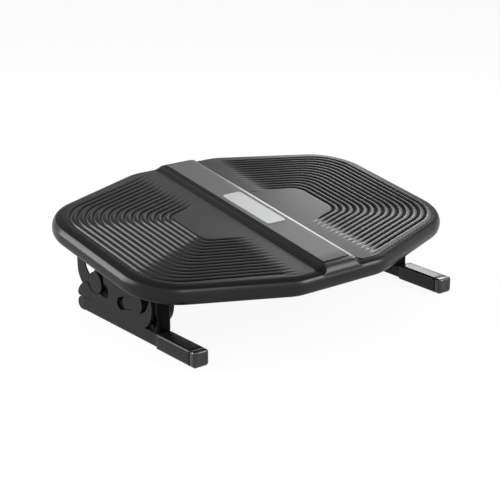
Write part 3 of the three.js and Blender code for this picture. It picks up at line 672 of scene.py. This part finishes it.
def wear_and_sheen_share(x, y, k, offset, cut, hand_side):
    """Polish of a rib, wear with painted sheen and shade: its outward wall beside the ends, its crown
    elsewhere.
    """
    side = ends_share(x, y, k)
    dull = 1 - bed_dulling * eased(0.03, 0.4, cut)
    # The two pads differ here: painted sheen and shade for how the lamps fall on each.
    if hand_side > 0:
        ends = 1 + right_gain * eased(0.2, 0.5, cut) if offset < 0 else dull
    elif k == 0 and offset == -0.5:
        ends = 1
    elif offset < 0:
        ends = left_wall_polish + left_wall_gain * eased(0.1, 0.42, cut)
    else:
        ends = left_inward_share * dull
    if y > 0:
        front = 1 - rear_bed_dulling * eased(0.02, 0.5, cut)
    else:
        crown = 1 + right_gain * eased(0, 0.02, cut) if hand_side > 0 else 1
        front = crown * (1 - bed_dulling * eased(0.12, 0.5, cut))
    return ends * side + front * (1 - side)


# Rows of the pad from its smooth middle outwards. A point holds its place, its level, the
# groove's cut there, the groove's number, and how far it lies from that groove's middle.
pad_rows = []
innermost = whole_course(groove_line(heart_edge))
for step in range(heart_steps + 1):
    share = step / heart_steps
    pad_rows.append([(pad_inner + (x - pad_inner) * share, y, pad_top, 0, 0, -0.5) for x, y in innermost])
for k in range(groove_count):
    for offset in [step / pitch_steps for step in range(-pitch_steps // 2, pitch_steps // 2)]:
        cut = (1 - 2 * abs(offset)) ** 2
        outer_band = k == groove_count - 1 and offset > 0
        depth = groove_depth * cut + (band_drop * (1 - cut) if outer_band else 0)
        start = groove_end_x + groove_end_drift * k
        row = []
        for x, y in whole_course(groove_line(k + offset)):
            fade = eased(start, start + groove_fade, x)
            row.append((x, y, pad_top - depth * fade, cut * fade * fade, k, offset))
        pad_rows.append(row)


def band_fall(x):
    """How far the band outside the last groove lies below the pad's top."""
    return band_drop * eased(groove_end_x, groove_end_x + groove_fade, x)


outermost = whole_course(groove_line(groove_count - 0.5))
border = whole_course(pad_border(-pad_round))
for share in (0, 0.35, 0.7, 1):
    pad_rows.append([
        (a[0] + (b[0] - a[0]) * share, a[1] + (b[1] - a[1]) * share, pad_top - band_fall(a[0]), 0, 0, 0)
        for a, b in zip(outermost, border)])
for degrees in (22.5, 45, 67.5, 90):
    turn = math.radians(degrees)
    edge_top = pad_top - pad_round * (1 - math.cos(turn))
    pad_rows.append([
        (x, y, edge_top - band_fall(x) * math.cos(turn), 0, 0, 0)
        for x, y in whole_course(pad_border(-pad_round * (1 - math.sin(turn))))])
pad_rows.append([(x, y, pad_foot, 0, 0, 0) for x, y in whole_course(pad_border(0))])
pad_points = [point for row in pad_rows for point in row]
pad_faces = ring_faces(len(pad_rows), len(innermost), closed=False)
for side, hand, end_shade in ((-1, "left", 0.8), (1, "right", 0)):
    pad_marks = {
        # The groove mark is painted shade in the grooves, and on the left pad also beside the deck's ends.
        "groove": [max(eased(0.05, 0.7, cut), end_shade * ends_share(x, y, k) * eased(0.002, 0.02, cut))
                   for x, y, level, cut, k, offset in pad_points],
        # The coat mark: the feet's wear, with painted sheen and shade that differ between the pads.
        "wear_and_sheen": [wear_and_sheen_share(x, y, k, offset, cut, side) for x, y, level, cut, k, offset in pad_points]}
    pad = build(
        f"{hand}_ribbed_pad", [(side * x, y, level) for x, y, level, cut, k, offset in pad_points],
        pad_faces, "deck", pad_grip, [f"{hand}_pad"], deck_place, pad_marks)

# Cover strip: a satin dark grey moulding let into the spine, with a thin shadow line around it
# and a pocket for the plate. It clips into the shell, and a painted shade darkens its front end.
satin = Finish("satin_grey_strip", "cover_satin", Specular_IOR_Level=0.12)
satin_mottle = satin.noise(20, 2)
satin_grain = satin.noise(1800, 2)
satin_along = satin.node("ShaderNodeSeparateXYZ", {}, {"Vector": satin.place()}, out="Y")
# Painted shade: the strip's colour darkens to near black towards its front end.
satin_end_shade = satin.node("ShaderNodeMapRange", {"interpolation_type": "SMOOTHSTEP"}, {
    "Value": satin_along, "From Min": -0.146, "From Max": -0.128, "To Min": 0.75, "To Max": 0.0})
satin_face = satin.shade(
    satin_mottle * 0.6 + satin_grain * 0.4, (0.062, 0.063, 0.065), (0.084, 0.085, 0.088))
satin.feed("Base Color", satin.shade(satin_end_shade, satin_face, (0.012, 0.012, 0.0125)))
satin.feed("Roughness", 0.38 + satin_mottle * 0.06 + satin_grain * 0.05)
satin.bump(satin_grain, 0.08, 0.00006)


def softened(node, body, finish, edge=0.0004, steps=2):
    """The node's own solid with its edges eased, as a moulding or a deburred plate has them."""
    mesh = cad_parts[node].data.copy()
    mesh.name = f"{node}_surface"
    work = bmesh.new()
    work.from_mesh(mesh)
    bmesh.ops.remove_doubles(work, verts=work.verts, dist=0.000005)
    bmesh.ops.dissolve_limit(work, angle_limit=math.radians(1.5), verts=work.verts, edges=work.edges)
    work.to_mesh(mesh)
    work.free()
    if mesh.has_custom_normals:
        mesh.attributes.remove(mesh.attributes["custom_normal"])
    piece = dress(f"{node}_surface", mesh, body, finish, [node])
    bevel = piece.modifiers.new("eased_edges", "BEVEL")
    bevel.width = edge
    bevel.segments = steps
    bevel.limit_method = "ANGLE"
    bevel.angle_limit = math.radians(32)
    bevel.use_clamp_overlap = True
    piece.modifiers.new("even_shading", "WEIGHTED_NORMAL")


softened("centre_cover", "deck", satin, edge=0.00035, steps=3)

# Plain plate: a thin brushed aluminium plate with rounded corners, its brush lines running
# along the deck's depth. It is glued into the strip's pocket and left bare.
brushed = Finish("brushed_plate", "plate_silver", Metallic=0.3, Specular_IOR_Level=0.3)
brushed_lines = brushed.noise(60, 4, brushed.place((40, 0.8, 1)))
brushed_mottle = brushed.noise(25, 2)
brushed.feed("Base Color", brushed.shade(
    brushed_lines * 0.7 + brushed_mottle * 0.3, (0.30, 0.31, 0.31), (0.38, 0.39, 0.39)))
brushed.feed("Roughness", 0.42 + brushed_lines * 0.12)
brushed.bump(brushed_lines, 0.06, 0.00004)
softened("plain_plate", "deck", brushed, edge=0.0003, steps=3)

# Tray: a moulded black floor that closes the deck from below and carries its ribs. Its satin
# surface comes from a lightly etched mould, and screws hold it to the shell.
moulded = Finish("satin_black_moulding", "moulded_black", Specular_IOR_Level=0.4)
moulded_mottle = moulded.noise(18, 2)
moulded_grain = moulded.noise(1500, 2)
moulded.feed("Base Color", moulded.shade(moulded_mottle, (0.012, 0.012, 0.0125), (0.019, 0.019, 0.0195)))
moulded.feed("Roughness", 0.45 + moulded_mottle * 0.06 + moulded_grain * 0.06)
moulded.bump(moulded_grain, 0.1, 0.0001)
softened("deck_tray", "deck", moulded)

# Stand: two square steel bars on the floor, each with two flat plate cheeks welded to a saddle
# and a guard beside its heel, and a tube on flanges that keeps the legs square. All of it is
# coated in satin black powder with a fine orange peel, as the caps over the pivots are.
powder = Finish("satin_black_powder_coat", "powder_black", Specular_IOR_Level=0.13)
powder_mottle = powder.noise(30, 3)
powder_peel = powder.noise(700, 2)
powder.feed("Base Color", powder.shade(powder_mottle, (0.0095, 0.0095, 0.0098), (0.014, 0.014, 0.0143)))
powder.feed("Roughness", 0.42 + powder_mottle * 0.06 + powder_peel * 0.08)
powder.bump(powder_peel, 0.12, 0.00012)


def both_hands(pieces, body, finish):
    """The left and the right one of each named piece, with one finish."""
    for hand in ("left", "right"):
        for piece in pieces:
            softened(f"{hand}_{piece}", body, finish)


both_hands(
    ("foot_bar", "outer_cheek", "inner_cheek", "saddle", "heel_guard", "tube_flange", "pivot_cap"),
    "stand", powder)
softened("joining_tube", "stand", powder)

# Hangers: the steel plates that carry the deck on its two pivots, with an arm on each side that
# falls to the heel at the rear. Their flanges are screwed to the tray, powder coated too.
both_hands(("hanger_flange", "outer_lug", "inner_lug", "rear_arm", "arm_boss"), "deck", powder)

# Lock sliders: a rounded block of powder coated steel in each outer cheek's falling slot. Each
# one slides down its slot by itself, so it is a body of its own.
for hand in ("left", "right"):
    softened(f"{hand}_lock_slider", f"{hand}_lock", powder)

# Sleeves and rear plugs: soft black plastic, pushed over each bar's front end and into its rear
# end. A sleeve is drawn as rounded box sections along the bar, and tapers to the bar behind.
sleeve_skin = Finish(
    "soft_black_sleeve", "sleeve_soft", Specular_IOR_Level=0.03, Coat_Weight=0.45,
    Coat_Roughness=0.26, Coat_IOR=1.45)
sleeve_mottle = sleeve_skin.noise(22, 2)
sleeve_grain = sleeve_skin.noise(1400, 2)
sleeve_skin.feed("Base Color", sleeve_skin.shade(
    sleeve_mottle, (0.004, 0.004, 0.0042), (0.007, 0.007, 0.0073)))
sleeve_skin.feed("Roughness", 0.34 + sleeve_mottle * 0.06 + sleeve_grain * 0.05)
sleeve_skin.bump(sleeve_grain, 0.03, 0.00004)

leg_face = 0.1891
bar_nose = 0.1388
bar_side = 0.0026
bar_level = 0.001
bar_size = 0.0144
bar_height = 0.0164
bar_edge = 0.0016
bar_corner = (leg_face - bar_side - bar_size - joint_gap, bar_level - joint_gap)
bar_wide = (bar_size + 2 * joint_gap, bar_height - bar_level + 2 * joint_gap)
sleeve_width = 0.0196
sleeve_height = 0.0184
sleeve_corner = (leg_face - sleeve_width, 0)
sleeve_wide = (sleeve_width, sleeve_height)
sleeve_edge = 0.003
sleeve_back = 0.0615
sleeve_taper = 0.0045
taper_inset = 0.0005
taper_end = sleeve_back + sleeve_taper - bar_nose
mouth_easing = 0.0004
cap_back = 0.0046
section_steps = 8


def box_ring(side, low, wide, inset, edge, y):
    """A rounded rectangle across the bar: wide holds its width and height, low its inner corner."""
    (x0, z0), (width, height) = low, wide
    corners = [(x0 + inset, z0 + inset, edge), (x0 + width - inset, z0 + inset, edge),
               (x0 + width - inset, z0 + height - inset, edge), (x0 + inset, z0 + height - inset, edge)]
    return [(side * p.x, y, p.y) for p in rounded(corners, section_steps)]


for side, hand in ((-1, "left"), (1, "right")):
    rings = [box_ring(side, bar_corner, bar_wide, 0, bar_edge, taper_end)]
    rings += [
        box_ring(side, sleeve_corner, sleeve_wide, taper_inset * (1 - share),
                 sleeve_edge * (0.5 + 0.5 * share), taper_end - sleeve_taper * share)
        for share in (0, 0.15, 0.4, 0.7, 1)]
    rings += [
        box_ring(side, sleeve_corner, sleeve_wide, 0, sleeve_edge,
                 sleeve_back - bar_nose - (sleeve_back - cap_back) * share + joint_gap)
        for share in (0.1, 0.35, 0.65, 0.9, 0.985)]
    mouth = cap_back + joint_gap - bar_nose
    rings += [box_ring(side, sleeve_corner, sleeve_wide, mouth_easing, sleeve_edge, mouth),
              box_ring(side, bar_corner, bar_wide, 0, bar_edge, mouth)]
    build(f"{hand}_sleeve_skin", [p for ring in rings for p in ring],
          ring_faces(len(rings), len(rings[0])), "stand", sleeve_skin, [f"{hand}_sleeve"])
both_hands(("rear_plug",), "stand", sleeve_skin)

# Front caps: smooth black plastic, shinier than the sleeves that they close. A cap's face is
# domed at its edges and slightly dished, and a slow wave in it breaks up the light.
smooth = Finish("smooth_black_plastic", "cap_gloss", Specular_IOR_Level=0.5)
smooth_mottle = smooth.noise(25, 2)
smooth_grain = smooth.noise(1200, 2)
smooth_wave = smooth.noise(160, 1)
smooth.feed("Base Color", smooth.shade(smooth_mottle, (0.007, 0.007, 0.0075), (0.011, 0.011, 0.0115)))
smooth.feed("Roughness", 0.12 + smooth_mottle * 0.06 + smooth_grain * 0.03)
smooth.bump(smooth_wave * 0.8 + smooth_grain * 0.2, 0.35, 0.0005)

cap_ledge = 0.004
cap_easing = 0.0005
cap_turn_start = 0.002
cap_inset = 0.0033
cap_bulge = 0.003
cap_dish = 0.0005

for side, hand in ((-1, "left"), (1, "right")):
    rings = [
        box_ring(side, sleeve_corner, sleeve_wide, inset, sleeve_edge - mouth_easing, cap_back - bar_nose)
        for inset in (cap_ledge, mouth_easing)]
    rings += [
        box_ring(side, sleeve_corner, sleeve_wide, 0, sleeve_edge, place - bar_nose)
        for place in (cap_back - cap_easing, cap_turn_start)]
    for degrees in range(0, 91, 10):
        turn = math.radians(degrees)
        rings.append(box_ring(
            side, sleeve_corner, sleeve_wide, cap_inset * (1 - math.cos(turn)), sleeve_edge,
            -bar_nose - cap_bulge * math.sin(turn)))
    rim = rings[-1]
    middle = Vector((side * (leg_face - sleeve_width / 2), 0, sleeve_height / 2))
    for share in (0.12, 0.3, 0.6, 0.96):
        rings.append([
            (x + (middle.x - x) * share, y + cap_dish * eased(0, 0.5, share), z + (middle.z - z) * share)
            for x, y, z in rim])
    centre_face = tuple(range((len(rings) - 1) * len(rim), len(rings) * len(rim)))
    build(f"{hand}_cap_skin", [p for ring in rings for p in ring],
          ring_faces(len(rings), len(rim)) + [centre_face], "stand", smooth, [f"{hand}_front_cap"])

# Front posts: polished jet black mouldings, darker than the steel around them. They stand on
# the bars in front of the cheeks' horns.
jet = Finish("jet_black_post", "post_gloss", Specular_IOR_Level=0.04)
jet_mottle = jet.noise(20, 2)
jet_grain = jet.noise(1100, 2)
jet.feed("Base Color", jet.shade(jet_mottle, (0.0022, 0.0022, 0.0024), (0.0038, 0.0038, 0.004)))
jet.feed("Roughness", 0.2 + jet_mottle * 0.08 + jet_grain * 0.04)
jet.bump(jet_grain, 0.05, 0.00005)
both_hands(("front_post",), "stand", jet)

# Rubber: matte black stops under the arms' heels, buffers on the posts and feet under the bars'
# rear ends. They are moulded from solid rubber, with a fine dusty grain, and pressed on.
rubber = Finish("matte_black_rubber", "black_rubber", Specular_IOR_Level=0.3)
rubber_mottle = rubber.noise(40, 3)
rubber_grain = rubber.noise(1800, 2)
rubber.feed("Base Color", rubber.shade(
    rubber_mottle * 0.5 + rubber_grain * 0.5, (0.012, 0.012, 0.012), (0.022, 0.022, 0.022)))
rubber.feed("Roughness", 0.7 + rubber_grain * 0.15)
rubber.bump(rubber_grain, 0.2, 0.00012)
both_hands(("rear_foot", "post_buffer", "rear_stop"), "stand", rubber)

# Pivot bolts, nuts and spacers: zinc plated steel with faint turning marks. Each bolt runs
# through the cheeks and the deck's lugs, and its nut holds the spacer tube between them.
zinc = Finish("zinc_plated_steel", "bright_steel", Metallic=1.0)
zinc_lines = zinc.noise(350, 3, zinc.place((6, 1, 1)))
zinc.feed("Base Color", zinc.shade(zinc_lines, (0.42, 0.43, 0.45), (0.58, 0.59, 0.6)))
zinc.feed("Roughness", 0.28 + zinc_lines * 0.15)
zinc.bump(zinc_lines, 0.08, 0.00005)
both_hands(("pivot_bolt", "pivot_spacer", "pivot_nut"), "stand", zinc)

# Pivot bushes and washers: natural nylon, slightly waxy, moulded and pushed over the bolts so
# that the steel plates turn on plastic.
nylon = Finish("natural_nylon", "pale_nylon", Specular_IOR_Level=0.45)
nylon_mottle = nylon.noise(60, 2)
nylon.feed("Base Color", nylon.shade(nylon_mottle, (0.66, 0.65, 0.58), (0.74, 0.73, 0.67)))
nylon.feed("Roughness", 0.42 + nylon_mottle * 0.1)
nylon.bump(nylon_mottle, 0.05, 0.00005)
both_hands(("pivot_bush", "outer_washer", "inner_washer"), "stand", nylon)
